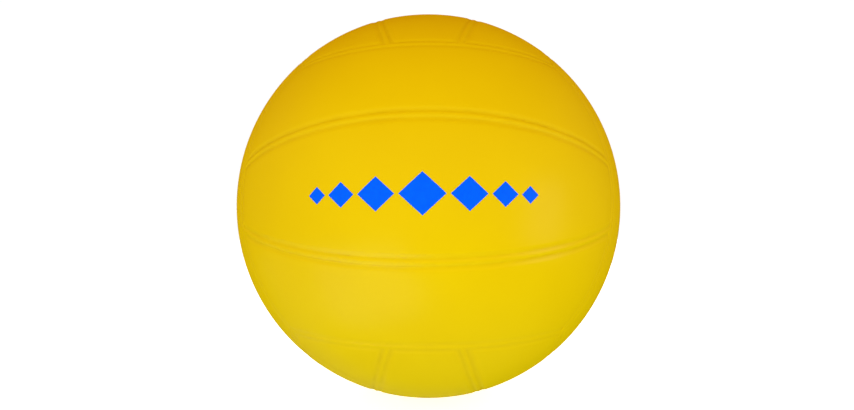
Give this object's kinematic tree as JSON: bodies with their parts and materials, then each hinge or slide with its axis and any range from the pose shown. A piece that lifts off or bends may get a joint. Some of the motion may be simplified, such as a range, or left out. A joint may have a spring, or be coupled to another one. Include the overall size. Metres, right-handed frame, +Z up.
{
  "type": "volleyball",
  "caption": "Round inflatable volleyball of smooth strip panels laid between raised ribs over a wound carcass and air bladder, with a replaceable needle valve plug.",
  "frame": {"origin": "centre of the ball", "axes": "+Z up, with the strips of the front and back faces level; the front face looks along -Y and the valve opens along +Y"},
  "size_m": [0.21, 0.2099, 0.21],
  "materials": {
    "cover": "satin soft PVC",
    "carcass_rubber": "satin moulded rubber",
    "thread": "wound nylon thread",
    "butyl": "matt butyl",
    "valve_rubber": "matt moulded rubber",
    "plug_rubber": "satin moulded rubber"
  },
  "bodies": {
    "ball": {"front_upper_panel": "cover", "front_middle_panel": "cover", "front_lower_panel": "cover", "back_upper_panel": "cover", "back_middle_panel": "cover", "back_lower_panel": "cover", "top_left_panel": "cover", "top_middle_panel": "cover", "top_right_panel": "cover", "bottom_right_panel": "cover", "bottom_middle_panel": "cover", "bottom_left_panel": "cover", "right_front_panel": "cover", "right_middle_panel": "cover", "right_back_panel": "cover", "left_back_panel": "cover", "left_middle_panel": "cover", "left_front_panel": "cover", "carcass": "carcass_rubber", "winding": "thread", "bladder": "butyl", "valve_housing": "valve_rubber"},
    "valve_plug": {"valve_plug": "plug_rubber"}
  },
  "joints": [
    {"name": "valve_plug_pull", "type": "slide", "parent": "ball", "child": "valve_plug", "axis": [0, 1, 0], "range_m": [0, 0.02]}
  ]
}
